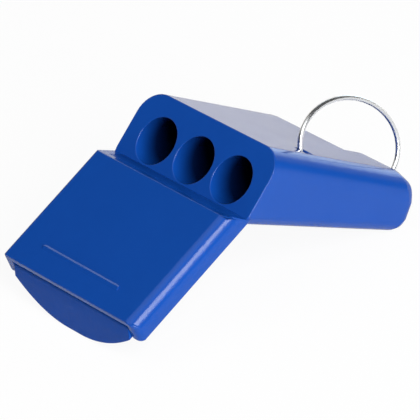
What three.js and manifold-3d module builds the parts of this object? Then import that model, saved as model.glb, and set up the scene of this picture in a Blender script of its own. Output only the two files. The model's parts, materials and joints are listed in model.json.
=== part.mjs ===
// Three-chamber pealess sports whistle with a wire bail, in millimetres, +Z up.
// It stands like a tent: the mouthpiece arm on one side, the chamber block on the other.
// +X is the side seen in the photograph, +Y runs from the mouthpiece to the bail.
// Each shape is drawn in the block's own plane first: Y back along the flat top, Z out of it,
// with the origin on the top edge of the face that holds the three mouths.
import * as THREE from 'three';
import { mergeVertices } from 'three/addons/utils/BufferGeometryUtils.js';
import Module from 'manifold-3d';

const wasm = await Module();
wasm.setup();

// Driving sizes of the block
const WIDTH = 31;
const FACE_LENGTH = 11.3;
const FACE_ANGLE = rad(74.5);
const NEAR_REAR = 33;
const FAR_REAR = 27.4;
const STEP_X = 2.7;
const BOTTOM_RISE = rad(4.9);
const SIDE_BOTTOM = 11.9;
const BELLY_SAG = 1.2;
const BELLY_FLAT = 20;
const TOP_ROUND = 4.1;
const REAR_TOP_ROUND = 4.1;
const REAR_BOTTOM_ROUND = 6;
const STEP_ROUND = 1.8;
const PLAN_ROUND = 2.3;

// Driving sizes of the mouthpiece arm, whose plate runs down and forward from the ledge
const PLATE_ANGLE = rad(57.5);
const PLATE_LENGTH = 23.2;
const PLATE_REAR_Y = -7;
const PLATE_REAR_Z = -11.3;
const PLATE_WALL = 2;
const SIDE_WALL = 1.8;
const SIDE_DEPTH = 3.8;
const PLATE_ROUND = 1.8;
const FRONT_EDGE_ROUND = 0.9;
const FRONT_CORNER_ROUND = 2;
const RIDGE_X = -0.7;
const RIDGE_LENGTH = 18;
const RIDGE_WIDTH = 0.9;
const RIDGE_HEIGHT = 0.4;
const RIDGE_FROM_FRONT = 4.9;

// Driving sizes of the windway block that closes the arm from below
const WINDWAY = 0.9;
const INSERT_DEPTH = 7;
const LIP_REACH = 2.4;
const LIP_FLAT = 9;
const RIB_WIDTH = 1.2;

// Driving sizes of the chambers, counted from the far side
const MOUTH_DOWN = 7.05;
const PITCH = 8.7;
const BORE_MOUTH_R = 3.8;
const BORE_END_R = 3.4;
const BORE_RISE = rad(2.45);
const BORE_LEAD = 2.5;
const BORE_DEPTHS = [26, 27, 28.5];

// Driving sizes of the wire bail and the tunnel that holds its feet
const WIRE_R = 0.4;
const BAIL_HALF_LENGTH = 11.4;
const BAIL_HALF_HEIGHT = 7.6;
const BAIL_CENTRE_Y = 20.4;
const BAIL_RISE = 3.05;
const BAIL_X = 10.1;
const BAIL_DEPTH = 1.3;
const BAIL_STOP = rad(-13.5);
const BAIL_OPEN = rad(35);
const FOOT_LENGTH = 6;
const FOOT_BEND = 0.75;
const LEG_SLOT = 2.4;

const FIT_GAP = 0.3;
const OVERCUT = 20;
const ARC_STEPS = 9;
const BORE_SIDES = 40;
const WIRE_ARC_STEPS = 6;
const WIRE_STEPS = 72;
const ARCH_POINTS = 18;

const HALF = WIDTH / 2;
const X = new THREE.Vector3(1, 0, 0);
const Y = new THREE.Vector3(0, 1, 0);
const Z = new THREE.Vector3(0, 0, 1);

// Plate directions: ALONG runs back up the plate, OUT leaves its upper face
const ALONG = direction(PLATE_ANGLE);
const OUT = direction(PLATE_ANGLE + Math.PI / 2);
const PLATE_REAR = new THREE.Vector3(0, PLATE_REAR_Y, PLATE_REAR_Z);
const FACE_BASE = direction(FACE_ANGLE).multiplyScalar(-FACE_LENGTH);
const LEDGE = FACE_BASE.clone().sub(PLATE_REAR);
const LEDGE_RUN = LEDGE.dot(ALONG);
const LEDGE_DROP = -LEDGE.dot(OUT);
const CAVITY_HALF = HALF - SIDE_WALL;
const FLOOR_DEPTH = PLATE_WALL + WINDWAY;

function rad(degrees) {
  return THREE.MathUtils.degToRad(degrees);
}

// Unit vector in the block's side plane, measured up from the flat top's backward direction
function direction(angle) {
  return new THREE.Vector3(0, Math.cos(angle), Math.sin(angle));
}

function solid(geometry) {
  geometry.deleteAttribute('normal');
  geometry.deleteAttribute('uv');
  const welded = mergeVertices(geometry, 1e-5);
  return new wasm.Manifold(new wasm.Mesh({
    numProp: 3,
    vertProperties: new Float32Array(welded.attributes.position.array),
    triVerts: new Uint32Array(welded.index.array),
  }));
}

// Closed outline from corners [a, b, radius], with a true arc wherever a radius is given
function outline(corners) {
  const shape = new THREE.Shape();
  const count = corners.length;
  corners.forEach(([a, b, radius = 0], i) => {
    const corner = new THREE.Vector2(a, b);
    const before = new THREE.Vector2(...corners[(i + count - 1) % count].slice(0, 2)).sub(corner).normalize();
    const after = new THREE.Vector2(...corners[(i + 1) % count].slice(0, 2)).sub(corner).normalize();
    const half = Math.acos(before.dot(after)) / 2;
    const start = before.clone().multiplyScalar(radius / Math.tan(half)).add(corner);
    if (i === 0) shape.moveTo(start.x, start.y);
    else shape.lineTo(start.x, start.y);
    if (radius === 0) return;
    const end = after.clone().multiplyScalar(radius / Math.tan(half)).add(corner);
    const centre = before.clone().add(after).setLength(radius / Math.sin(half)).add(corner);
    const from = start.sub(centre).angle();
    const to = end.sub(centre).angle();
    shape.absarc(centre.x, centre.y, radius, from, to, before.cross(after) > 0);
  });
  shape.closePath();
  return shape;
}

// Prism of a shape whose two axes and run are given as vectors, starting at a point
function prism(shape, across, up, from, length) {
  const geometry = new THREE.ExtrudeGeometry(shape, {
    depth: length, bevelEnabled: false, curveSegments: ARC_STEPS,
  });
  const frame = new THREE.Matrix4().makeBasis(across, up, across.clone().cross(up));
  geometry.applyMatrix4(frame.setPosition(from));
  return solid(geometry);
}

// Side outline in the block's plane, running across the whistle between two X values
function acrossWidth(corners, fromX, toX) {
  return prism(outline(corners), Y, Z, new THREE.Vector3(fromX, 0, 0), toX - fromX);
}

// Side outline in the plate's plane (along, out), running across the whistle
function acrossPlate(corners, fromX, toX) {
  const start = PLATE_REAR.clone().addScaledVector(X, fromX);
  return prism(outline(corners), ALONG, OUT, start, toX - fromX);
}

// Arched underside: flat in the middle, rising by rise at each half width
function archOutline(halfWidth, flat, rise, top) {
  const shape = new THREE.Shape();
  shape.moveTo(halfWidth, top);
  shape.lineTo(-halfWidth, top);
  for (let i = 0; i <= ARCH_POINTS; i += 1) {
    const a = -halfWidth + (2 * halfWidth * i) / ARCH_POINTS;
    const beyond = Math.max(Math.abs(a) - flat / 2, 0) / (halfWidth - flat / 2);
    shape.lineTo(a, rise * beyond ** 2);
  }
  shape.closePath();
  return shape;
}

function bellyHeight(y) {
  return -SIDE_BOTTOM - BELLY_SAG + (y - FACE_BASE.y) * Math.tan(BOTTOM_RISE);
}

// One column of the block, with its own rear end and its own rounded top edges
function column(rear, section) {
  const belly = bellyHeight(rear);
  const drop = (FACE_BASE.z - bellyHeight(0)) / -OUT.z;
  const heel = FACE_BASE.clone().addScaledVector(OUT, drop);
  const side = acrossWidth([
    [0, 0], [FACE_BASE.y, FACE_BASE.z], [heel.y, heel.z],
    [rear, belly, REAR_BOTTOM_ROUND], [rear, 0, REAR_TOP_ROUND],
  ], -HALF, HALF);
  const run = new THREE.Vector3(0, NEAR_REAR + OVERCUT, 0);
  return side.intersect(prism(outline(section), X, Z, run, NEAR_REAR + 2 * OVERCUT));
}

function chamberBlock() {
  const low = -OVERCUT;
  const far = column(FAR_REAR, [
    [-HALF, low], [STEP_X + 2 * STEP_ROUND, low], [STEP_X + 2 * STEP_ROUND, 0], [-HALF, 0, TOP_ROUND],
  ]);
  const near = column(NEAR_REAR, [[STEP_X, low], [HALF, low], [HALF, 0, TOP_ROUND], [STEP_X, 0, STEP_ROUND]]);
  const plan = prism(outline([
    [-HALF, -OVERCUT], [HALF, -OVERCUT], [HALF, NEAR_REAR, PLAN_ROUND], [STEP_X, NEAR_REAR, PLAN_ROUND],
    [STEP_X, FAR_REAR, STEP_ROUND], [-HALF, FAR_REAR, PLAN_ROUND],
  ]), X, Y, new THREE.Vector3(0, 0, -OVERCUT), 2 * OVERCUT);
  const back = direction(BOTTOM_RISE);
  const lift = direction(BOTTOM_RISE + Math.PI / 2);
  const start = new THREE.Vector3(0, 0, bellyHeight(0));
  const arch = prism(
    archOutline(HALF, BELLY_FLAT, BELLY_SAG, OVERCUT), X, lift,
    start.addScaledVector(back, NEAR_REAR + OVERCUT), NEAR_REAR + 2 * OVERCUT,
  );
  return far.add(near).intersect(plan).intersect(arch);
}

// Plate and side walls of the mouthpiece arm, open below and at the front
function mouthpieceArm() {
  const front = -PLATE_LENGTH;
  const roofRun = LEDGE_RUN * PLATE_WALL / LEDGE_DROP;
  const plate = acrossPlate([
    [front, -PLATE_WALL], [roofRun, -PLATE_WALL], [0, 0], [front, 0, FRONT_EDGE_ROUND],
  ], -HALF, HALF);
  const wall = [
    [front, -SIDE_DEPTH, FRONT_CORNER_ROUND], [2 * LEDGE_RUN, -SIDE_DEPTH],
    [LEDGE_RUN, -LEDGE_DROP], [0, 0], [front, 0, FRONT_EDGE_ROUND],
  ];
  const walls = acrossPlate(wall, -HALF, -CAVITY_HALF).add(acrossPlate(wall, CAVITY_HALF, HALF));
  const section = outline([
    [-HALF, -OVERCUT], [HALF, -OVERCUT], [HALF, 0, PLATE_ROUND], [-HALF, 0, PLATE_ROUND],
  ]);
  const rear = PLATE_REAR.clone().addScaledVector(ALONG, OVERCUT);
  const rounded = prism(section, X, OUT, rear, PLATE_LENGTH + 2 * OVERCUT);
  const plan = prism(outline([
    [-HALF, front, FRONT_CORNER_ROUND], [HALF, front, FRONT_CORNER_ROUND], [HALF, OVERCUT], [-HALF, OVERCUT],
  ]), X, ALONG, PLATE_REAR.clone().addScaledVector(OUT, -OVERCUT), 2 * OVERCUT);
  return plate.add(walls).intersect(rounded).intersect(plan).add(gripRidge());
}

function gripRidge() {
  const middle = RIDGE_FROM_FRONT - PLATE_LENGTH;
  const end = RIDGE_LENGTH / 2;
  const side = RIDGE_WIDTH / 2;
  const round = 0.9 * side;
  const bar = outline([
    [-end, middle - side, round], [end, middle - side, round],
    [end, middle + side, round], [-end, middle + side, round],
  ]);
  const start = PLATE_REAR.clone().addScaledVector(OUT, -RIDGE_HEIGHT).addScaledVector(X, RIDGE_X);
  return prism(bar, X, ALONG, start, 2 * RIDGE_HEIGHT);
}

function bore(index) {
  const depth = BORE_DEPTHS[index];
  const geometry = new THREE.CylinderGeometry(BORE_END_R, BORE_MOUTH_R, depth + BORE_LEAD, BORE_SIDES);
  geometry.translate(0, (depth - BORE_LEAD) / 2, 0);
  geometry.rotateX(BORE_RISE);
  const mouth = direction(FACE_ANGLE).multiplyScalar(-MOUTH_DOWN);
  geometry.translate((index - 1) * PITCH, mouth.y, mouth.z);
  return solid(geometry);
}

// Box of air between two X values, from a front Y back by a length, up through the top wall
function topCut(fromX, toX, frontY, length) {
  const floor = BAIL_DEPTH + WIRE_R + FIT_GAP;
  const geometry = new THREE.BoxGeometry(toX - fromX, length, floor + OVERCUT);
  geometry.translate((fromX + toX) / 2, frontY + length / 2, (OVERCUT - floor) / 2);
  return solid(geometry);
}

// Where a leg of the bail crosses the flat top at a given lean, with room for the wire
function legReach(lean) {
  return BAIL_X + BAIL_DEPTH * Math.tan(lean) + Math.sign(lean) * (WIRE_R / Math.cos(lean) + FIT_GAP);
}

// Tunnel along the top wall, a slot where the front leg comes up and a notch for the rear leg
function bailTunnel() {
  const slotFront = BAIL_CENTRE_Y - BAIL_HALF_LENGTH - WIRE_R;
  const slotLength = LEG_SLOT;
  const notchFront = 2 * BAIL_CENTRE_Y - slotFront - slotLength;
  const fromX = legReach(BAIL_STOP);
  const toX = legReach(BAIL_OPEN);
  const radius = WIRE_R + FIT_GAP;
  const bar = new THREE.CylinderGeometry(radius, radius, notchFront - slotFront, 2 * ARC_STEPS);
  bar.translate(BAIL_X, (notchFront + slotFront) / 2, -BAIL_DEPTH);
  const slot = topCut(fromX, toX, slotFront, slotLength);
  const notch = topCut(fromX, toX, notchFront, OVERCUT);
  return solid(bar).add(slot).add(notch);
}

function bodySolid() {
  let body = chamberBlock().add(mouthpieceArm());
  for (let i = 0; i < BORE_DEPTHS.length; i += 1) body = body.subtract(bore(i));
  return body.subtract(bailTunnel());
}

// Windway block: flat floor with two dividing ribs, arched underside, slanted front lip
function windwayBlock() {
  const half = CAVITY_HALF - FIT_GAP;
  const rear = LEDGE_RUN * FLOOR_DEPTH / LEDGE_DROP - FIT_GAP;
  const front = -PLATE_LENGTH + FIT_GAP;
  const block = acrossPlate([
    [front, -FLOOR_DEPTH], [front - LIP_REACH, -INSERT_DEPTH], [rear, -INSERT_DEPTH], [rear, -FLOOR_DEPTH],
  ], -half, half);
  const start = PLATE_REAR.clone().addScaledVector(OUT, -INSERT_DEPTH).addScaledVector(ALONG, OVERCUT);
  const arch = archOutline(half, LIP_FLAT, INSERT_DEPTH - SIDE_DEPTH, INSERT_DEPTH);
  let insert = block.intersect(prism(arch, X, OUT, start, PLATE_LENGTH + 2 * OVERCUT));
  const ribTop = -PLATE_WALL - FIT_GAP;
  for (const side of [-1, 1]) {
    const middle = side * PITCH / 2;
    const rib = acrossPlate([
      [front + RIB_WIDTH, -FLOOR_DEPTH - FIT_GAP], [rear - RIB_WIDTH, -FLOOR_DEPTH - FIT_GAP],
      [rear - RIB_WIDTH, ribTop], [front + RIB_WIDTH, ribTop],
    ], middle - RIB_WIDTH / 2, middle + RIB_WIDTH / 2);
    insert = insert.add(rib);
  }
  return insert;
}

// Bail: an oval arch of wire whose two feet turn inward along the tunnel, drawn upright on its hinge line
function bailSolid() {
  const lowest = Math.asin((FOOT_BEND - BAIL_RISE) / BAIL_HALF_HEIGHT);
  const footStart = BAIL_HALF_LENGTH * Math.cos(lowest) - FOOT_BEND;
  const foot = [FOOT_LENGTH, FOOT_LENGTH / 2, 0].map((along) => footStart - along);
  const points = foot.map((along) => new THREE.Vector3(0, -along, 0));
  for (let i = 0; i <= ARCH_POINTS; i += 1) {
    const turn = Math.PI - lowest + (2 * lowest - Math.PI) * i / ARCH_POINTS;
    const rise = BAIL_RISE + BAIL_HALF_HEIGHT * Math.sin(turn);
    points.push(new THREE.Vector3(0, BAIL_HALF_LENGTH * Math.cos(turn), rise));
  }
  points.push(...foot.reverse().map((along) => new THREE.Vector3(0, along, 0)));
  const section = new THREE.Shape();
  section.absarc(0, 0, WIRE_R, 0, 2 * Math.PI);
  const geometry = new THREE.ExtrudeGeometry(section, {
    extrudePath: new THREE.CatmullRomCurve3(points),
    steps: WIRE_STEPS,
    curveSegments: WIRE_ARC_STEPS,
    bevelEnabled: false,
  });
  return solid(geometry);
}

function named(name, manifold, material) {
  const mesh = manifold.getMesh();
  const geometry = new THREE.BufferGeometry();
  geometry.setAttribute('position', new THREE.BufferAttribute(new Float32Array(mesh.vertProperties), 3));
  geometry.setIndex(new THREE.BufferAttribute(new Uint32Array(mesh.triVerts), 1));
  geometry.computeVertexNormals();
  const node = new THREE.Mesh(geometry, material);
  node.name = name;
  return node;
}

// Lean that sets the lip's lower edge and the rounded heel of the near column on one level
function standingLean() {
  const lip = PLATE_REAR.clone().addScaledVector(ALONG, FIT_GAP - PLATE_LENGTH - LIP_REACH);
  lip.addScaledVector(OUT, -INSERT_DEPTH);
  const heelY = NEAR_REAR - REAR_BOTTOM_ROUND;
  const heelZ = bellyHeight(heelY) + REAR_BOTTOM_ROUND / Math.cos(BOTTOM_RISE);
  const reach = new THREE.Vector2(heelY - lip.y, heelZ - lip.z);
  return reach.angle() - Math.asin(REAR_BOTTOM_ROUND / reach.length());
}

const plastic = new THREE.MeshStandardMaterial({ color: 0x1245a0, roughness: 0.3, metalness: 0 });
const lipPlastic = new THREE.MeshStandardMaterial({ color: 0x1a4c9c, roughness: 0.4, metalness: 0 });
const steel = new THREE.MeshStandardMaterial({ color: 0xc9ccd0, roughness: 0.2, metalness: 1 });

const bail = named('lanyard_bail', bailSolid(), steel);
bail.position.set(BAIL_X, BAIL_CENTRE_Y, -BAIL_DEPTH);
bail.rotation.y = BAIL_STOP;

const leaning = new THREE.Group();
leaning.add(named('whistle_body', bodySolid(), plastic));
leaning.add(named('windway_block', windwayBlock(), lipPlastic));
leaning.add(bail);
leaning.rotation.x = -standingLean();

// The origin is under the middle of the whole part, on the surface that it stands on
const whistle = new THREE.Group();
whistle.name = 'whistle';
whistle.add(leaning);
whistle.updateMatrixWorld(true);
const box = new THREE.Box3().setFromObject(whistle, true);
const middle = box.getCenter(new THREE.Vector3());
leaning.position.set(-middle.x, -middle.y, -box.min.z);

export default whistle;
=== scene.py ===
# %% [markdown]
# # A three-chamber whistle
# This whistle has no pea and no moving reed. It is two plastic mouldings and one bent wire: a body
# with three blind bores, a block that closes the mouthpiece from below, and a loop for a lanyard.
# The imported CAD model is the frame. It says where each piece sits and how the loop swings, and
# Blender adds what the solids lack: soft edges, rims, and finishes that answer to light.

import json
from contextlib import contextmanager
from itertools import product
from math import asin, atan2, cos, degrees, pi, radians, sin, tan

import bmesh
import bpy
from mathutils import Matrix, Vector


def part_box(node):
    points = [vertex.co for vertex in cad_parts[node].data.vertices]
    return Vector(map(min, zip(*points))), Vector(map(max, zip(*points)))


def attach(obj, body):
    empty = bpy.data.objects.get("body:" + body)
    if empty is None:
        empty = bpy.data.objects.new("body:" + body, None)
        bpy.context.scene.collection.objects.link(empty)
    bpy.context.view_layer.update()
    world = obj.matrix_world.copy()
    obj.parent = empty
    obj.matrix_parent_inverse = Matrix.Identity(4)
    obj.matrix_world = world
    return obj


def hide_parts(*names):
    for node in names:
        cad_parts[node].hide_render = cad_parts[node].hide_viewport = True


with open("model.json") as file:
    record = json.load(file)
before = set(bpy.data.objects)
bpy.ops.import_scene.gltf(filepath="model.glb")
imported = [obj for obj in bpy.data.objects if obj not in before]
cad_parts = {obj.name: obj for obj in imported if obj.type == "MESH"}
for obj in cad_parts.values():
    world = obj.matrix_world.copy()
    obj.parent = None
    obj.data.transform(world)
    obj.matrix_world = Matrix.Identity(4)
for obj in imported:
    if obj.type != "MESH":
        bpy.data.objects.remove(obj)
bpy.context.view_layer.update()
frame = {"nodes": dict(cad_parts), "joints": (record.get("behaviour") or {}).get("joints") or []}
print("CAD nodes:", sorted(frame["nodes"]))

# %% [markdown]
# The block of the whistle lies tilted, so its pieces are drawn in the block's own plane, where the
# flat top is level: X across, Y back along the top, Z out of it, with zero at the top edge of the
# face. That plane is read from the frame, because the loop's hinge runs along the top. Drawing in
# millimetres also keeps the numbers far from Blender's small tolerances. Each piece is turned and
# scaled into place once, when its shape is done.

# %% From the block's plane to the frame
MM = 0.001
LOOP_X = 10.1
LOOP_CENTRE_Y = 20.4
LOOP_DEPTH = 1.3

hinge = frame["joints"][0]
hinge_axis = Vector(hinge["axis"])
LEAN = atan2(-hinge_axis.z, hinge_axis.y)
tilt = Matrix.Rotation(-LEAN, 4, "X")
hinge_in_block = Vector((LOOP_X, LOOP_CENTRE_Y, -LOOP_DEPTH))
block_place = Vector(hinge["pos_m"]) - tilt @ (hinge_in_block * MM)
print(f"the block leans back by {degrees(LEAN):.2f} degrees")

# %% [markdown]
# The photograph was taken with a long lens, from the right and from above. A long lens keeps
# parallel edges nearly parallel. The camera is set by its heading, height and a slight roll, and
# it looks at the point that lies in the middle of the picture.

# %% Camera
CAMERA_AIM = Vector((0.00415, -0.00452, 0.01206))
CAMERA_AZIMUTH = radians(50.95)
CAMERA_ELEVATION = radians(30.8)
CAMERA_ROLL = radians(-4.44)
CAMERA_DISTANCE = 0.6924
CAMERA_LENS = 389


def heading(azimuth, elevation):
    """Unit vector from the whistle towards a compass direction and height."""
    level = cos(elevation)
    return Vector((sin(azimuth) * level, -cos(azimuth) * level, sin(elevation)))


bpy.ops.object.select_all(action="DESELECT")
bpy.ops.object.camera_add()
camera = bpy.context.object
towards_camera = heading(CAMERA_AZIMUTH, CAMERA_ELEVATION)
turn = (-towards_camera).to_track_quat("-Z", "Y").to_matrix().to_4x4()
camera.matrix_world = (
    Matrix.Translation(CAMERA_AIM + towards_camera * CAMERA_DISTANCE)
    @ turn
    @ Matrix.Rotation(CAMERA_ROLL, 4, "Z")
)
camera.data.lens = CAMERA_LENS
bpy.context.scene.camera = camera
bpy.context.scene.view_settings.view_transform = "Standard"
print("camera at", [round(value, 4) for value in camera.matrix_world.translation])

# %% [markdown]
# A few helpers stand for what a hand does over and over in edit mode: open a piece alone, and pick
# its faces or edges by where they are or which way they look. Picking by place keeps working when
# a size changes, which picking by index would not. Two directions count as alike when the cosine
# of the angle between them is large enough.

# %% Opening and picking
ALIKE = 0.8


def only(piece):
    """Selects one piece alone and makes it the active one."""
    bpy.ops.object.select_all(action="DESELECT")
    piece.select_set(True)
    bpy.context.view_layer.objects.active = piece


@contextmanager
def editing(piece, part="FACE"):
    """Edit mode on one piece alone, picking faces, edges or vertices."""
    only(piece)
    bpy.ops.object.mode_set(mode="EDIT")
    bpy.ops.mesh.select_mode(type=part)
    yield
    bpy.ops.object.mode_set(mode="OBJECT")


def pick(piece, parts, test):
    """Selects the faces, edges or verts of the open piece that pass a test."""
    bpy.ops.mesh.select_all(action="DESELECT")
    shape = bmesh.from_edit_mesh(piece.data)
    for item in getattr(shape, parts):
        if test(item):
            item.select_set(True)
    bmesh.update_edit_mesh(piece.data)


def between(first, second, alike=ALIKE):
    """A test for edges where a face that looks one way meets a face that looks another way."""

    def test(edge):
        looks = [face.normal for face in edge.link_faces]
        pairs = [looks, looks[::-1]] if len(looks) == 2 else []
        return any(a.dot(first) > alike and b.dot(second) > alike for a, b in pairs)

    return test


# %% [markdown]
# Most shapes here are sliced out of a box: bisect cuts the open piece with a plane, throws away
# what lies beyond it and closes the cut. Where two solids are joined, or one is cut out of another,
# the exact boolean leaves thin splinters and needless lines in flat faces, so it is always followed
# by a cleaning.

# %% Slicing and joining
EXACT_CUT = 1e-5
WELD = 0.002
FLAT_WITHIN = radians(0.1)


def shave(point, outward):
    """Slices off all of the open piece that lies beyond a plane, and closes the cut."""
    bpy.ops.mesh.select_all(action="SELECT")
    bpy.ops.mesh.bisect(
        plane_co=point, plane_no=Vector(outward).normalized(),
        use_fill=True, clear_outer=True, threshold=EXACT_CUT,
    )


def score(point, across):
    """Cuts a line of edges round the open piece, without taking anything away."""
    bpy.ops.mesh.select_all(action="SELECT")
    bpy.ops.mesh.bisect(plane_co=point, plane_no=across, threshold=EXACT_CUT)


def merge_flats():
    """Welds stray splinters of the open piece and takes out the lines within its flat faces."""
    bpy.ops.mesh.select_all(action="SELECT")
    bpy.ops.mesh.remove_doubles(threshold=WELD)
    bpy.ops.mesh.dissolve_degenerate(threshold=WELD)
    bpy.ops.mesh.select_all(action="SELECT")
    bpy.ops.mesh.dissolve_limited(angle_limit=FLAT_WITHIN)


def apply_modifier(piece, kind, **settings):
    """Adds a modifier with its settings and applies it at once."""
    only(piece)
    modifier = piece.modifiers.new(kind.title(), kind)
    for name, value in settings.items():
        setattr(modifier, name, value)
    bpy.ops.object.modifier_apply(modifier=modifier.name)


def combine(piece, tool, operation):
    """Joins a tool to the piece, or cuts it out of it, and throws the tool away."""
    apply_modifier(piece, "BOOLEAN", object=tool, operation=operation, solver="EXACT")
    bpy.data.objects.remove(tool)
    with editing(piece):
        merge_flats()


# %% [markdown]
# Most pieces and tools start as a box between two corners. After each larger step the number of
# open edges is printed: a solid has none, and a hole is easiest to mend where it was made.

# %% Starting and measuring
def cuboid(name, low, high):
    """A box between two corners, as the start of a piece."""
    bpy.ops.object.select_all(action="DESELECT")
    low, high = Vector(low), Vector(high)
    bpy.ops.mesh.primitive_cube_add(size=1, location=(low + high) / 2, scale=high - low)
    bpy.context.object.name = name
    bpy.ops.object.transform_apply(location=True, rotation=True, scale=True)
    return bpy.context.object


def report(piece):
    """Prints the faces, open edges and millimetres of a piece that is not yet placed."""
    size = [round(value, 2) for value in piece.dimensions]
    shape = bmesh.new()
    shape.from_mesh(piece.data)
    loose = sum(not edge.is_manifold for edge in shape.edges)
    shape.free()
    print(f"{piece.name}: {len(piece.data.polygons)} faces, {loose} open edges, size {size} mm")


# %% [markdown]
# Round edges come from bevel weights. Each edge is given its own share of the largest radius, and
# one Bevel modifier then rounds them all together, so that edges of different radius still flow
# into one another at a corner. Rounding edge after edge would leave creases there.

# %% Rounding by weights
ROUND_STEPS = 10


def round_edges(piece, rounds):
    """Rounds the edges that each test picks by the distance given with it, in one bevel."""
    largest = max(distance for distance, test in rounds)
    with editing(piece, "EDGE"):
        bpy.ops.mesh.select_all(action="SELECT")
        # Weights are added to and never fall below zero, so this clears them all.
        bpy.ops.transform.edge_bevelweight(value=-1)
        for distance, test in rounds:
            pick(piece, "edges", test)
            bpy.ops.transform.edge_bevelweight(value=distance / largest)
    apply_modifier(
        piece, "BEVEL", width=largest, segments=ROUND_STEPS, limit_method="WEIGHT",
        use_clamp_overlap=False,
    )


# %% [markdown]
# The chamber block is a slab that is cut slanting in front, where the three mouths are. Its rear
# end has a step, because the chamber on the near side is longer than the other two. Each half is a
# box. Its belly is sliced to a slight rise, its outer edges are rounded, and the front is sliced
# off last, so that the rounds run right through to it. Two boxes are easier to round than one
# stepped shape, whose inner corner would pinch.

# %% Half of the chamber block
X_AXIS = Vector((1, 0, 0))
BACK = Vector((0, 1, 0))
UP = Vector((0, 0, 1))
# The rear end and the belly both look roughly this way.
HEEL = (BACK - UP).normalized()
ROUGHLY = 0.6

HALF_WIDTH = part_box("whistle_body")[1].x / MM
FACE_LENGTH = 11.3
FACE_ANGLE = radians(74.5)
PLATE_ANGLE = radians(57.5)
NEAR_REAR = 32.95
FAR_REAR = 27.4
STEP_X = 2.7
STEP_OVERLAP = 3.6
BELLY_RISE = radians(4.9)
BELLY_DEPTH = 12.15
HEEL_ROUND = 3.1
TOP_ROUND = 4.1
NEAR_REAR_TOP_ROUND = 4.1
FAR_REAR_TOP_ROUND = 2.4
RIM_ROUND = 2
STEP_ROUND = 1.8
SPARE = 20


def side(angle):
    """Unit vector in the block's side plane, measured up from the flat top's backward direction."""
    return Vector((0, cos(angle), sin(angle)))


face_base = side(FACE_ANGLE) * -FACE_LENGTH
belly_front = Vector((0, face_base.y, -BELLY_DEPTH))


def block_half(name, from_x, to_x, rear, outer, rounds):
    """A box with the block's belly, rounds and slanting front; outer is where its side looks."""
    half = cuboid(name, (from_x, -SPARE, -SPARE), (to_x, rear, 0))
    with editing(half):
        shave(belly_front, side(BELLY_RISE - pi / 2))
    round_edges(half, [
        (TOP_ROUND, between(UP, outer)),
        (HEEL_ROUND, between(BACK, -UP)),
        (RIM_ROUND, between(HEEL, outer, ROUGHLY)),
        *rounds,
    ])
    with editing(half):
        shave((0, 0, 0), side(FACE_ANGLE + pi / 2))
        shave(face_base, -side(PLATE_ANGLE))
    return half


# %% Chamber block
body = block_half("body_moulding", -HALF_WIDTH, STEP_X + STEP_OVERLAP, FAR_REAR, -X_AXIS, [
    (FAR_REAR_TOP_ROUND, between(UP, BACK)),
])
near_half = block_half("near_half", STEP_X, HALF_WIDTH, NEAR_REAR, X_AXIS, [
    (NEAR_REAR_TOP_ROUND, between(UP, BACK)),
    (STEP_ROUND, between(UP, -X_AXIS)),
    (STEP_ROUND, between(HEEL, -X_AXIS, ROUGHLY)),
])
combine(body, near_half, "UNION")
report(body)

# %% [markdown]
# The mouthpiece arm runs down and forward from a ledge below the face. It is a plate with two side
# walls, open underneath, and its front end is cut on a slant. It is drawn lying flat, with Y along
# the plate and Z out of its upper side, and turned by the plate's angle when it is done. Its outer
# edges are rounded while it is a full block, because rounds on thin walls would run into one another,
# and the hollow between the walls is cut out after that.

# %% Sizes of the mouthpiece arm
PLATE_LENGTH = 22
PLATE_REAR = Vector((0, -7, -11.3))
PLATE_WALL = 1
FRONT_SLANT = 0.14
SIDE_WALL = 1.9
SIDE_DEPTH = 4
NEAR_PLATE_ROUND = 2.3
FAR_PLATE_ROUND = 0.7
FRONT_EDGE_ROUND = 0.25
NEAR_CORNER_ROUND = 1.4
FAR_CORNER_ROUND = 0.6
WALL_TOE_ROUND = 0.8
WALL_FOOT_ROUND = 0.5
LEDGE_ROUND = 0.16

ledge = face_base - PLATE_REAR
ledge_run = ledge.dot(side(PLATE_ANGLE))
ledge_drop = -ledge.dot(side(PLATE_ANGLE + pi / 2))
ledge_look = Vector((0, ledge_drop, ledge_run)).normalized()
cavity_half = HALF_WIDTH - SIDE_WALL
print(f"the ledge runs {ledge_run:.2f} mm along the plate and drops {ledge_drop:.2f} mm below it")


# %% Mouthpiece arm
def to_block(piece):
    """Turns a piece that was drawn lying flat on the plate into the block's plane."""
    only(piece)
    piece.rotation_euler.x = PLATE_ANGLE
    piece.location = PLATE_REAR
    bpy.ops.object.transform_apply(location=True, rotation=True, scale=True)


arm = cuboid("arm", (-HALF_WIDTH, -2 * PLATE_LENGTH, -SIDE_DEPTH), (HALF_WIDTH, SPARE, 0))
with editing(arm):
    shave((0, -PLATE_LENGTH, 0), (0, -1, FRONT_SLANT))
    shave((0, 0, 0), ledge_look)
round_edges(arm, [
    (NEAR_PLATE_ROUND, between(UP, X_AXIS)),
    (FAR_PLATE_ROUND, between(UP, -X_AXIS)),
    (FRONT_EDGE_ROUND, between(UP, -BACK)),
    (NEAR_CORNER_ROUND, between(-BACK, X_AXIS)),
    (FAR_CORNER_ROUND, between(-BACK, -X_AXIS)),
    (WALL_TOE_ROUND, between(-BACK, -UP)),
    (WALL_FOOT_ROUND, between(X_AXIS, -UP)),
    (WALL_FOOT_ROUND, between(-X_AXIS, -UP)),
    (LEDGE_ROUND, between(UP, ledge_look)),
    (LEDGE_ROUND, between(X_AXIS, ledge_look)),
    (LEDGE_ROUND, between(-X_AXIS, ledge_look)),
])
hollow = cuboid(
    "hollow", (-cavity_half, -3 * PLATE_LENGTH, -SPARE), (cavity_half, SPARE, -PLATE_WALL)
)
combine(arm, hollow, "DIFFERENCE")
report(arm)
to_block(arm)
combine(body, arm, "UNION")
report(body)

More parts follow.
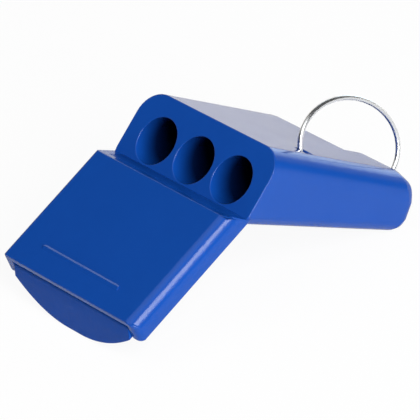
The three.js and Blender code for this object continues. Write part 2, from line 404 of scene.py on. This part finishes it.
# %% [markdown]
# The three chambers are blind bores, slightly narrower at their ends so that the moulding's core
# pins pull out. A cone primitive without its point is such a pin, and spinning an outline would only
# make the same pin in more steps. One pin is made for each bore and cut out of the body.

# %% Chambers
MOUTH_DOWN = 7.05
PITCH = 8.7
BORE_MOUTH_R = 3.8
BORE_END_R = 3.4
BORE_RISE = radians(2.45)
BORE_LEAD = 2.5
BORE_DEPTHS = (26, 27, 28.5)
BORE_SIDES = 96

mouth = side(FACE_ANGLE) * -MOUTH_DOWN
for index, depth in enumerate(BORE_DEPTHS):
    middle = mouth + side(BORE_RISE) * (depth - BORE_LEAD) / 2 + X_AXIS * (index - 1) * PITCH
    bpy.ops.object.select_all(action="DESELECT")
    bpy.ops.mesh.primitive_cone_add(
        vertices=BORE_SIDES, radius1=BORE_MOUTH_R, radius2=BORE_END_R, depth=depth + BORE_LEAD,
        location=middle, rotation=(BORE_RISE - pi / 2, 0, 0),
    )
    combine(body, bpy.context.object, "DIFFERENCE")
report(body)

# %% [markdown]
# No moulded edge is truly sharp. A narrow bevel on the edges that are still sharp gives the face and
# the mouths the thin bright line that plastic shows there. It comes before the small cuts for the
# loop, whose edges lie closer together than this bevel is wide. The edges in the plane of the ledge
# are left out, because the long ones are round already and the short ones have no room.

# %% Soft edges
SOFT_EDGE = 0.16
SOFT_STEPS = 3
SHARP_FROM = radians(46)


def soften(piece, width, test):
    """Rounds the outward edges that are still sharp and pass a test."""
    with editing(piece, "EDGE"):
        pick(piece, "edges", lambda edge: edge.is_convex
             and edge.calc_face_angle(0) > SHARP_FROM and test(edge))
        bpy.ops.mesh.bevel(offset=width, segments=SOFT_STEPS, affect="EDGES", clamp_overlap=False)


def off_plane(point, look):
    """A test for edges that do not lie in a plane."""
    return lambda edge: any(abs((vert.co - point).dot(look)) > SOFT_EDGE / 2 for vert in edge.verts)


soften(body, SOFT_EDGE, off_plane(face_base, Vector((0, -ledge.z, ledge.y)).normalized()))
report(body)

# %% [markdown]
# The wire loop turns in a tunnel under the flat top. Its front leg comes up through a slot, and its
# rear leg leaves through a notch in the rear edge. Both are just wide enough for the swing, which
# the slot's ends stop. Their edges get a finer bevel, and the tunnel, which hides between them, is
# drilled last and keeps its sharp rims.

# %% Tunnel, slot and notch for the loop
WIRE_R = 0.4
FIT_GAP = 0.3
LOOP_HALF_LENGTH = 11.4
LOOP_STOP = radians(-13.5)
LOOP_OPEN = radians(35)
LEG_SLOT = 1.7
SLOT_EDGE = 0.08
TUNNEL_SIDES = 36


def leg_reach(lean):
    """Where the leg crosses the flat top at a lean, with room for the wire."""
    room = WIRE_R / cos(lean) + FIT_GAP
    return LOOP_X + LOOP_DEPTH * tan(lean) + (room if lean > 0 else -room)


slot_front = LOOP_CENTRE_Y - LOOP_HALF_LENGTH - WIRE_R
notch_front = 2 * LOOP_CENTRE_Y - slot_front - LEG_SLOT
slot_floor = -LOOP_DEPTH - WIRE_R - 2 * FIT_GAP
slot_far = leg_reach(LOOP_STOP)
slot_near = leg_reach(LOOP_OPEN)
for front, rear in ((slot_front, slot_front + LEG_SLOT), (notch_front, NEAR_REAR + SPARE)):
    cut = cuboid("cut", (slot_far, front, slot_floor), (slot_near, rear, SPARE))
    combine(body, cut, "DIFFERENCE")
soften(body, SLOT_EDGE, lambda edge: all(vert.co.y > slot_front - WIRE_R for vert in edge.verts))
bpy.ops.object.select_all(action="DESELECT")
bpy.ops.mesh.primitive_cylinder_add(
    vertices=TUNNEL_SIDES, radius=WIRE_R + FIT_GAP, depth=notch_front - slot_front,
    location=hinge_in_block, rotation=(pi / 2, 0, 0),
)
combine(body, bpy.context.object, "DIFFERENCE")
report(body)

# %% [markdown]
# A low bar across the plate gives the teeth or lips a stop. On the real whistle it is one with the
# plate, so it is joined to the body. Its ends are rounded first, and then its upper edge. Two
# slanting slices let it rise gently from the front and fall off at its rear, where it shines.

# %% Grip bar
BAR_X = -0.92
BAR_LENGTH = 17.6
BAR_WIDTH = 1.1
BAR_HEIGHT = 0.45
BAR_FROM_FRONT = 4
BAR_END_ROUND = 0.4
BAR_TOP_ROUND = 0.2
BAR_TOP_STEPS = 4
BAR_SOLE = 0.1
BAR_FRONT_SLOPE = (0, -0.5, 1.1)
BAR_REAR_SLOPE = (0, 0.5, 0.87)


def upright(edge):
    """A test for edges that stand up from the plate."""
    along = (edge.verts[0].co - edge.verts[1].co).normalized()
    return abs(along.z) > ALIKE


bar_middle = BAR_FROM_FRONT - PLATE_LENGTH
bar = cuboid(
    "bar",
    (BAR_X - BAR_LENGTH / 2, bar_middle - BAR_WIDTH / 2, -BAR_HEIGHT),
    (BAR_X + BAR_LENGTH / 2, bar_middle + BAR_WIDTH / 2, BAR_HEIGHT),
)
with editing(bar, "EDGE"):
    pick(bar, "edges", upright)
    bpy.ops.mesh.bevel(offset=BAR_END_ROUND, segments=ROUND_STEPS, affect="EDGES")
    pick(bar, "edges", lambda edge: any(face.normal.z > ALIKE for face in edge.link_faces))
    bpy.ops.mesh.bevel(offset=BAR_TOP_ROUND, segments=BAR_TOP_STEPS, affect="EDGES")
    shave((0, bar_middle + BAR_WIDTH / 2, BAR_HEIGHT), BAR_FRONT_SLOPE)
    shave((0, bar_middle + BAR_WIDTH / 2, BAR_SOLE), BAR_REAR_SLOPE)
to_block(bar)
combine(body, bar, "UNION")
report(body)

# %% [markdown]
# The finished body is scaled from millimetres and turned into the frame. Smooth shading stops at the
# edges that are still sharp, and weighted normals keep the flat faces flat in the gloss, so only the
# rounds bend the reflections.

# %% Placing
def place(piece):
    """Scales a piece from millimetres, turns it into the frame and smooths its shading."""
    only(piece)
    piece.matrix_world = Matrix.Translation(block_place) @ tilt @ Matrix.Scale(MM, 4)
    bpy.ops.object.transform_apply(location=True, rotation=True, scale=True)
    bpy.ops.object.shade_smooth_by_angle(angle=SHARP_FROM)
    apply_modifier(piece, "WEIGHTED_NORMAL", keep_sharp=True)


place(body)
print("body placed, size", [round(value / MM, 1) for value in body.dimensions])

# %% [markdown]
# The windway block slides in under the plate and leaves a thin gap above it, which guides the
# breath to the three mouths and narrows towards them. In front it shows as a slanted lens with an
# arched underside and a narrow brow that slopes up to the gap. It is drawn flat like the arm, as a
# box that is sliced to its floor, front, brow and rear end, and then, facet by facet, to the arch.
# The arch is flat in its middle and rises more and more to the sides, which no cylinder would cut.

# %% Windway block
WINDWAY = 0.35
WINDWAY_EXIT = 0.1
INSERT_DEPTH = 7
LIP_REACH = 2.9
LIP_LEAD = 0.1
LIP_SINK = 0.3
LIP_BROW = (0, -0.45, 0.89)
LIP_FLAT = 3
LIP_RISE = 3.7
LIP_FACETS = 12
INSERT_EDGE = 0.12
SNUG = 0.05

floor_depth = PLATE_WALL + WINDWAY
insert_half = cavity_half - SNUG
insert_front = -LIP_LEAD - PLATE_LENGTH
insert_rear = ledge_run - SNUG
insert = cuboid(
    "windway_insert",
    (-insert_half, insert_front - LIP_REACH, -INSERT_DEPTH),
    (insert_half, insert_rear, -PLATE_WALL - WINDWAY_EXIT),
)
with editing(insert):
    shave((0, insert_front, -floor_depth), (0, WINDWAY_EXIT - WINDWAY, insert_rear - insert_front))
    shave((0, insert_front, -floor_depth), (0, floor_depth - INSERT_DEPTH, LIP_REACH))
    shave((0, insert_front, -floor_depth - LIP_SINK), LIP_BROW)
    shave((0, 0, 0), ledge_look)
    arch_run = insert_half - LIP_FLAT / 2
    for end, step in product((-1, 1), range(LIP_FACETS)):
        share = (step + 0.5) / LIP_FACETS
        touch = (end * (LIP_FLAT / 2 + arch_run * share), 0, LIP_RISE * share**2 - INSERT_DEPTH)
        shave(touch, X_AXIS * end * 2 * LIP_RISE * share / arch_run - UP)
soften(insert, INSERT_EDGE, off_plane(Vector(), ledge_look))
report(insert)

# %% [markdown]
# Two ribs divide the gap into three channels, one for each mouth. Their outlines are scored into the
# floor. The faces between the lines are extruded and then flattened to one level, because the floor
# slopes and the plate above it does not.

# %% Ribs of the windway
RIB_WIDTH = 1.2
RIB_GAP = 0.05

rib_edges = [end * PITCH / 2 + rim * RIB_WIDTH / 2 for end, rim in product((-1, 1), (-1, 1))]
rib_front = insert_front + RIB_WIDTH
rib_rear = -RIB_WIDTH


def on_rib(face):
    """A test for faces of the floor between the scored lines of a rib."""
    middle = face.calc_center_median()
    beside = abs(abs(middle.x) - PITCH / 2)
    return face.normal.z > ALIKE and beside < RIB_WIDTH / 2 and rib_front < middle.y < rib_rear


with editing(insert):
    for x in rib_edges:
        score((x, 0, 0), X_AXIS)
    for y in (rib_front, rib_rear):
        score((0, y, 0), BACK)
    pick(insert, "faces", on_rib)
    bpy.ops.mesh.extrude_region_move(TRANSFORM_OT_translate={"value": (0, 0, WINDWAY_EXIT)})
    bpy.ops.transform.resize(value=(1, 1, 0), center_override=(0, 0, -PLATE_WALL - RIB_GAP))
    merge_flats()
report(insert)
to_block(insert)
place(insert)

# %% [markdown]
# The loop is one length of hard steel wire, bent to an oval with two feet that turn inward along
# the tunnel. Its centre line starts as a mesh circle, stretched to the oval. The part below the
# hinge line is cut off, both ends are extruded inward, and the two bends are rounded.

# %% Line of the loop
LOOP_HALF_HEIGHT = 7.6
LOOP_RISE = 3.05
FOOT_LENGTH = 6
FOOT_BEND = 0.75
BEND_STEPS = 6
OVAL_POINTS = 120

bpy.ops.object.select_all(action="DESELECT")
bpy.ops.mesh.primitive_circle_add(vertices=OVAL_POINTS, radius=1, rotation=(pi / 2, 0, pi / 2))
loop = bpy.context.object
loop.name = "lanyard_loop"
loop.scale = (LOOP_HALF_LENGTH, LOOP_HALF_HEIGHT, 1)
loop.location = (0, 0, LOOP_RISE)
bpy.ops.object.transform_apply(location=True, rotation=True, scale=True)
foot_corner = LOOP_HALF_LENGTH * cos(asin(LOOP_RISE / LOOP_HALF_HEIGHT))


def at_bend(vert):
    """A test for the two points where the oval meets the feet."""
    return abs(vert.co.z) < EXACT_CUT and abs(abs(vert.co.y) - foot_corner) < EXACT_CUT


with editing(loop, "VERT"):
    bpy.ops.mesh.select_all(action="SELECT")
    bpy.ops.mesh.bisect(plane_co=(0, 0, 0), plane_no=-UP, clear_outer=True, threshold=EXACT_CUT)
    for end in (-1, 1):
        pick(loop, "verts", lambda vert: abs(vert.co.z) < EXACT_CUT and vert.co.y * end > 0)
        bpy.ops.mesh.extrude_region_move(TRANSFORM_OT_translate={"value": (0, -end * FOOT_LENGTH, 0)})
    pick(loop, "verts", at_bend)
    bpy.ops.mesh.bevel(offset=FOOT_BEND, segments=BEND_STEPS, affect="VERTICES")
print("points on the line of the loop:", len(loop.data.vertices))

# %% [markdown]
# As a curve with a round bevel the line becomes wire, equally thick all along, also in the bends. It
# is made a mesh again, its capped ends are welded, and it is turned about its hinge until the front
# leg lies at the far end of its slot.

# %% Wire loop
WIRE_RESOLUTION = 6

only(loop)
bpy.ops.object.convert(target="CURVE")
loop.data.bevel_depth = WIRE_R
loop.data.bevel_resolution = WIRE_RESOLUTION
loop.data.use_fill_caps = True
bpy.ops.object.convert(target="MESH")
with editing(loop):
    bpy.ops.mesh.select_all(action="SELECT")
    bpy.ops.mesh.remove_doubles(threshold=WELD)
    bpy.ops.mesh.normals_make_consistent(inside=False)
loop.rotation_euler.y = LOOP_STOP
loop.location = hinge_in_block
bpy.ops.object.transform_apply(location=True, rotation=True, scale=True)
report(loop)
place(loop)

# %% [markdown]
# Every piece now rides on its body of the frame and stands for its plain solid. The loop swings
# with the body named bail, and the two mouldings stay with the whistle.

# %% Riding on the frame
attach(body, "whistle")
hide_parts("whistle_body")
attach(insert, "whistle")
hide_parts("windway_block")
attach(loop, "bail")
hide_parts("lanyard_bail")

# %% [markdown]
# Finishes are built from nodes. One small class holds a socket, so that sums of sockets read like
# sums of numbers and add their own Math nodes. Every other node comes from its node method.

# %% A socket that does arithmetic
class Shade:
    """One output of a node tree, or the tree alone, to add its first nodes."""

    def __init__(self, tree, socket=None):
        self.tree = tree
        self.socket = socket

    def node(self, kind, settings=None, inputs=None, output=0):
        """Adds a node: its settings first, then the values or links of its sockets."""
        made = self.tree.nodes.new(kind)
        for name, value in (settings or {}).items():
            setattr(made, name, value)
        for name, value in (inputs or {}).items():
            if isinstance(value, Shade):
                self.tree.links.new(value.socket, made.inputs[name])
            else:
                made.inputs[name].default_value = value
        return Shade(self.tree, made.outputs[output] if made.outputs else None)

    def maths(self, operation, first, second):
        """Adds a Math node on two sockets or numbers."""
        return self.node("ShaderNodeMath", {"operation": operation}, {0: first, 1: second})

    def __add__(self, other):
        return self.maths("ADD", self, other)

    def __radd__(self, other):
        return self.maths("ADD", other, self)

    def __mul__(self, other):
        return self.maths("MULTIPLY", self, other)

    def __rmul__(self, other):
        return self.maths("MULTIPLY", other, self)


# %% [markdown]
# Every finish starts from an empty material. Noise gives most of what changes over a surface, and
# a Mix node turns it into colour, because a Math node would make a colour grey. The Mix node keeps
# its colours at fixed places among its sockets, after those for numbers and vectors.

# %% Starting a finish
MIX_FIRST = 6
MIX_SECOND = 7
MIX_RESULT = 2


def new_finish(piece, name):
    """An empty material on a piece."""
    material = bpy.data.materials.new(name)
    material.use_nodes = True
    material.node_tree.nodes.clear()
    piece.data.materials.clear()
    piece.data.materials.append(material)
    return Shade(material.node_tree)


def noise(nodes, vector, scale, detail=2, roughness=0.5):
    """A noise pattern on some coordinates."""
    return nodes.node(
        "ShaderNodeTexNoise", None,
        {"Vector": vector, "Scale": scale, "Detail": detail, "Roughness": roughness},
    )


def blend(nodes, share, first, second):
    """A colour between two others."""
    return nodes.node(
        "ShaderNodeMix", {"data_type": "RGBA"},
        {"Factor": share, MIX_FIRST: first, MIX_SECOND: second}, output=MIX_RESULT,
    )


# %% [markdown]
# The chambers get painted shade: their colour darkens with depth, more than soft studio light alone
# would make them. Turned into the chambers' own directions, the coordinates tell how far from an
# axis and how deep inside a point lies, so the bores need no unwrapping. A pingpong folds the three
# axes into one. The painted shade ends before the rear wall, so that the outside behind a chamber
# keeps its colour.

# %% Painted shade in the chambers
CHAMBER_ROOM = 0.06
CHAMBER_FADE_FROM = -0.5
CHAMBER_FADE_TO = 3.8
CHAMBER_SHADE_MOST = 0.9
CHAMBER_END = 25

into_chamber = (
    Matrix.Rotation(-BORE_RISE, 4, "X") @ Matrix.Translation(-mouth) @ Matrix.Scale(1 / MM, 4)
    @ tilt.inverted() @ Matrix.Translation(-block_place)
)


def chamber_painted_shade(nodes, place_on_piece):
    """Painted shade in the chambers: 0 outside, little at a mouth and more with depth."""
    local = nodes.node("ShaderNodeMapping", None, {
        "Vector": place_on_piece, "Location": into_chamber.to_translation(),
        "Rotation": (LEAN - BORE_RISE, 0, 0), "Scale": (1 / MM, 1 / MM, 1 / MM),
    })
    across, along, above = (
        nodes.node("ShaderNodeSeparateXYZ", None, {"Vector": local}, output=axis) for axis in "XYZ"
    )
    from_axis = nodes.maths("PINGPONG", across, PITCH / 2)
    square = from_axis * from_axis + above * above
    within = nodes.maths("LESS_THAN", square, (BORE_MOUTH_R + CHAMBER_ROOM) ** 2)
    among = nodes.maths("LESS_THAN", across * across, (len(BORE_DEPTHS) * PITCH / 2) ** 2)
    before_end = nodes.maths("LESS_THAN", along, CHAMBER_END)
    depth = nodes.node("ShaderNodeMapRange", None, {
        "Value": along, "From Min": CHAMBER_FADE_FROM, "From Max": CHAMBER_FADE_TO,
        "To Max": CHAMBER_SHADE_MOST,
    })
    return depth * within * among * before_end


# %% [markdown]
# The mouldings are self-coloured blue plastic with a polished skin. The colour is nearly even: a
# slow drift where the melt flowed, and a faint cloud. The gloss is broken by a soft haze from
# handling and by fine wipe marks, and a very low ripple keeps reflections from looking machined.
# The wipe marks are noise on coordinates that are turned and stretched far more one way than the
# others. The windway block has the same colour with less shine.

# %% Colours and marks of the plastic
BLUE_DEEP = (0.0034, 0.053, 0.302, 1)
BLUE_BRIGHT = (0.0044, 0.063, 0.342, 1)
# The colour of the painted shade deep inside the chambers.
CHAMBER_PAINTED_SHADE = (0.0004, 0.0016, 0.014, 1)
FLOW_SCALE = 55
CLOUD_SCALE = 420
CLOUD_SHARE = 0.3
WIPE_TURN = (0.4, 0.2, 0.6)
WIPE_STRETCH = (9000, 500, 900)
WIPE_FROM = 0.62
WIPE_TO = 0.8
WIPE_DULLS = 0.06
HAZE_SCALE = 150
HAZE_DULLS = 0.08
RIPPLE_SCALE = 900
FINE_RIPPLE_SCALE = 4200
FINE_RIPPLE_SHARE = 0.25
RIPPLE_STRENGTH = 0.05
RIPPLE_HEIGHT = 0.0004


def wipe_marks(nodes, place_on_piece):
    """Roughness added by thin streaks from a cloth."""
    stretched = nodes.node(
        "ShaderNodeMapping", None,
        {"Vector": place_on_piece, "Rotation": WIPE_TURN, "Scale": WIPE_STRETCH},
    )
    streaks = noise(nodes, stretched, scale=1, detail=1)
    return nodes.node(
        "ShaderNodeMapRange", None,
        {"Value": streaks, "From Min": WIPE_FROM, "From Max": WIPE_TO, "To Max": WIPE_DULLS},
    )


# %% Moulded plastic
def moulded_plastic(piece, name, skin, index):
    """Blue plastic with the roughness of its skin and a refractive index for its shine."""
    nodes = new_finish(piece, name)
    place_on_piece = nodes.node("ShaderNodeTexCoord", output="Object")
    flow = noise(nodes, place_on_piece, FLOW_SCALE, detail=3)
    cloud = noise(nodes, place_on_piece, CLOUD_SCALE)
    drift = flow * (1 - CLOUD_SHARE) + cloud * CLOUD_SHARE
    colour = blend(nodes, drift, BLUE_DEEP, BLUE_BRIGHT)
    # Painted shade: the chamber walls are darkened with depth.
    colour = blend(nodes, chamber_painted_shade(nodes, place_on_piece), colour, CHAMBER_PAINTED_SHADE)
    haze = noise(nodes, place_on_piece, HAZE_SCALE, detail=4, roughness=0.6)
    roughness = skin + haze * HAZE_DULLS + wipe_marks(nodes, place_on_piece)
    fine_ripple = noise(nodes, place_on_piece, FINE_RIPPLE_SCALE, detail=1)
    ripple = noise(nodes, place_on_piece, RIPPLE_SCALE, detail=1) + fine_ripple * FINE_RIPPLE_SHARE
    bump = nodes.node(
        "ShaderNodeBump", None,
        {"Height": ripple, "Strength": RIPPLE_STRENGTH, "Distance": RIPPLE_HEIGHT}, output="Normal",
    )
    plastic = nodes.node(
        "ShaderNodeBsdfPrincipled", None,
        {"Base Color": colour, "Roughness": roughness, "IOR": index, "Normal": bump},
    )
    nodes.node("ShaderNodeOutputMaterial", None, {"Surface": plastic})
    print(f"{name} on {piece.name}")


moulded_plastic(body, "polished_blue_plastic", skin=0.15, index=1.36)
moulded_plastic(insert, "satin_blue_plastic", skin=0.26, index=1.17)

# %% [markdown]
# The wire is drawn spring steel. A thin dull film lies on it in places, so its gloss changes along
# its length and its colour only a little. A very fine grain breaks its highlights.

# %% Drawn steel
STEEL_BRIGHT = (0.86, 0.87, 0.88, 1)
STEEL_DULL = (0.62, 0.63, 0.65, 1)
STEEL_ROUGHNESS = 0.22
FILM_SCALE = 260
FILM_TINTS = 0.6
FILM_DULLS = 0.12
GRAIN_SCALE = 5200
GRAIN_STRENGTH = 0.04
GRAIN_HEIGHT = 0.0001


def drawn_steel(piece):
    """Steel wire with a dull film and a fine grain."""
    nodes = new_finish(piece, "drawn_steel")
    place_on_piece = nodes.node("ShaderNodeTexCoord", output="Object")
    film = noise(nodes, place_on_piece, FILM_SCALE, detail=4, roughness=0.6)
    colour = blend(nodes, film * FILM_TINTS, STEEL_BRIGHT, STEEL_DULL)
    roughness = film * FILM_DULLS + STEEL_ROUGHNESS
    grain = noise(nodes, place_on_piece, GRAIN_SCALE)
    bump = nodes.node(
        "ShaderNodeBump", None,
        {"Height": grain, "Strength": GRAIN_STRENGTH, "Distance": GRAIN_HEIGHT}, output="Normal",
    )
    steel = nodes.node(
        "ShaderNodeBsdfPrincipled", None,
        {"Base Color": colour, "Metallic": 1, "Roughness": roughness, "Normal": bump},
    )
    nodes.node("ShaderNodeOutputMaterial", None, {"Surface": steel})
    print(f"drawn_steel on {piece.name}")


drawn_steel(loop)

# %% [markdown]
# The studio is a sheet of white paper that runs under the whistle and up behind it in one bend. It is
# a plane whose rear edge is extruded upwards and whose fold is then bevelled.

# %% Paper sweep
PAPER_HALF = 3
PAPER_RISE = 1
PAPER_BEND = 0.5
PAPER_BEHIND = 1.6

bpy.ops.object.select_all(action="DESELECT")
bpy.ops.mesh.primitive_plane_add(size=2 * PAPER_HALF, location=(0, PAPER_BEHIND - PAPER_HALF, 0))
paper = bpy.context.object
paper.name = "paper_sweep"
bpy.ops.object.transform_apply(location=True, rotation=True, scale=True)
with editing(paper, "EDGE"):
    pick(paper, "edges", lambda edge: all(vert.co.y > 0 for vert in edge.verts))
    bpy.ops.mesh.extrude_region_move(TRANSFORM_OT_translate={"value": (0, 0, PAPER_RISE)})
    pick(paper, "edges", lambda edge: all(
        vert.co.y > 0 and vert.co.z < EXACT_CUT for vert in edge.verts
    ))
    bpy.ops.mesh.bevel(offset=PAPER_BEND, segments=ROUND_STEPS, affect="EDGES")
paper.rotation_euler.z = CAMERA_AZIMUTH
bpy.ops.object.transform_apply(location=True, rotation=True, scale=True)
bpy.ops.object.shade_smooth()
print("paper sweep reaches", [round(value, 2) for value in paper.dimensions])

# %% [markdown]
# The paper shows white to the camera and still takes a trace of the whistle's shadow. The flat top
# of the whistle is seen at a shallow angle, so it mirrors the paper behind it, and that makes it
# pale. The paper there also has a painted glow, a little lighter and warmer, that only mirrors see
# and no lamp gives, so part of the top's paleness is a painted reflection.

# %% White paper
WHITE = (1, 1, 1, 1)
PAPER_COLOUR = (0.88, 0.88, 0.88, 1)
# The tint of the paper's painted glow, which only mirrors and glass see.
PAPER_PAINTED_GLOW = (1, 0.92, 0.78, 1)
PAPER_GLOW = 0.93
PAPER_PAINTED_GLOW_SHARE = 0.48
PAPER_BRIGHT_FROM = 0.02
PAPER_BRIGHT_TO = 0.08

nodes = new_finish(paper, "white_paper")
to_camera = nodes.node("ShaderNodeLightPath", output="Is Camera Ray")
to_mirror = nodes.node("ShaderNodeLightPath", output="Is Glossy Ray")
to_glass = nodes.node("ShaderNodeLightPath", output="Is Transmission Ray")
behind = nodes.node(
    "ShaderNodeVectorMath", {"operation": "DOT_PRODUCT"},
    {0: nodes.node("ShaderNodeTexCoord", output="Object"), 1: -heading(CAMERA_AZIMUTH, 0)},
    output="Value",
)
painted_glow_behind = nodes.node(
    "ShaderNodeMapRange", None,
    {"Value": behind, "From Min": PAPER_BRIGHT_FROM, "From Max": PAPER_BRIGHT_TO},
)
lit = nodes.node("ShaderNodeBsdfDiffuse", None, {"Color": PAPER_COLOUR})
glow = nodes.node("ShaderNodeEmission", None, {"Color": WHITE, "Strength": 1})
# Painted glow: a warm emission that only mirrors and glass see, strongest behind the whistle, where
# no lamp shines; it paints a reflection on the whistle's flat top.
painted_glow = nodes.node("ShaderNodeEmission", None, {"Color": PAPER_PAINTED_GLOW, "Strength": 1})
seen = nodes.node("ShaderNodeMixShader", None, {0: to_camera * PAPER_GLOW, 1: lit, 2: glow})
painted_glow_factor = (to_mirror + to_glass) * painted_glow_behind * PAPER_PAINTED_GLOW_SHARE
painted_glow_in_mirrors = nodes.node("ShaderNodeMixShader", None, {0: painted_glow_factor, 2: painted_glow})
both = nodes.node("ShaderNodeAddShader", None, {0: seen, 1: painted_glow_in_mirrors})
nodes.node("ShaderNodeOutputMaterial", None, {"Surface": both})
print("white_paper on", paper.name)

# %% [markdown]
# The whistle is lit from the right by a tall, narrow soft lamp. It reaches from low to high, so it
# lights the side walls more than the top and leaves the chambers dark. A weak lamp high in front
# fills the plate and the face, from a place that neither of them mirrors to the camera. Two dim
# windows at the left and behind give the thin bright lines along the edges that look away from the
# main lamp.

# %% Lamps
NEUTRAL = (1, 1, 1)
SKYLIGHT = (0.6, 0.8, 1)


def lamp(name, azimuth, elevation, distance, width, height, power, colour=NEUTRAL):
    """A soft rectangular lamp that looks at the whistle, with its angles in degrees."""
    bpy.ops.object.select_all(action="DESELECT")
    bpy.ops.object.light_add(type="AREA")
    made = bpy.context.object
    made.name = name
    towards = heading(radians(azimuth), radians(elevation))
    made.location = towards * distance
    made.rotation_mode = "QUATERNION"
    made.rotation_quaternion = (-towards).to_track_quat("-Z", "Y")
    made.data.shape = "RECTANGLE"
    made.data.size = width
    made.data.size_y = height
    made.data.energy = power
    made.data.color = colour
    made.visible_camera = False
    print(name, "at", [round(value, 2) for value in made.location])


lamp("key_softbox", azimuth=75, elevation=30, distance=1, width=0.45, height=0.95, power=15.8)
lamp("high_fill", azimuth=340, elevation=68, distance=1, width=0.8, height=0.8, power=2.2)
lamp(
    "back_window", azimuth=204, elevation=6.5, distance=0.9, width=0.6, height=0.2, power=1.1,
    colour=SKYLIGHT,
)
lamp(
    "left_window", azimuth=228, elevation=28, distance=1, width=0.3, height=0.3, power=0.25,
    colour=SKYLIGHT,
)

# %% [markdown]
# The room itself is nearly dark. An even glow from all sides would lift the shadows and wash out the
# plastic, and a dim one keeps its blue deep.

# %% Room
ROOM_LEVEL = 0.06

room = bpy.data.worlds.new("dim_room")
bpy.context.scene.world = room
room.use_nodes = True
room.node_tree.nodes.clear()
nodes = Shade(room.node_tree)
air = nodes.node("ShaderNodeBackground", None, {"Color": WHITE, "Strength": ROOM_LEVEL})
nodes.node("ShaderNodeOutputWorld", None, {"Surface": air})
print("room glows at", ROOM_LEVEL)
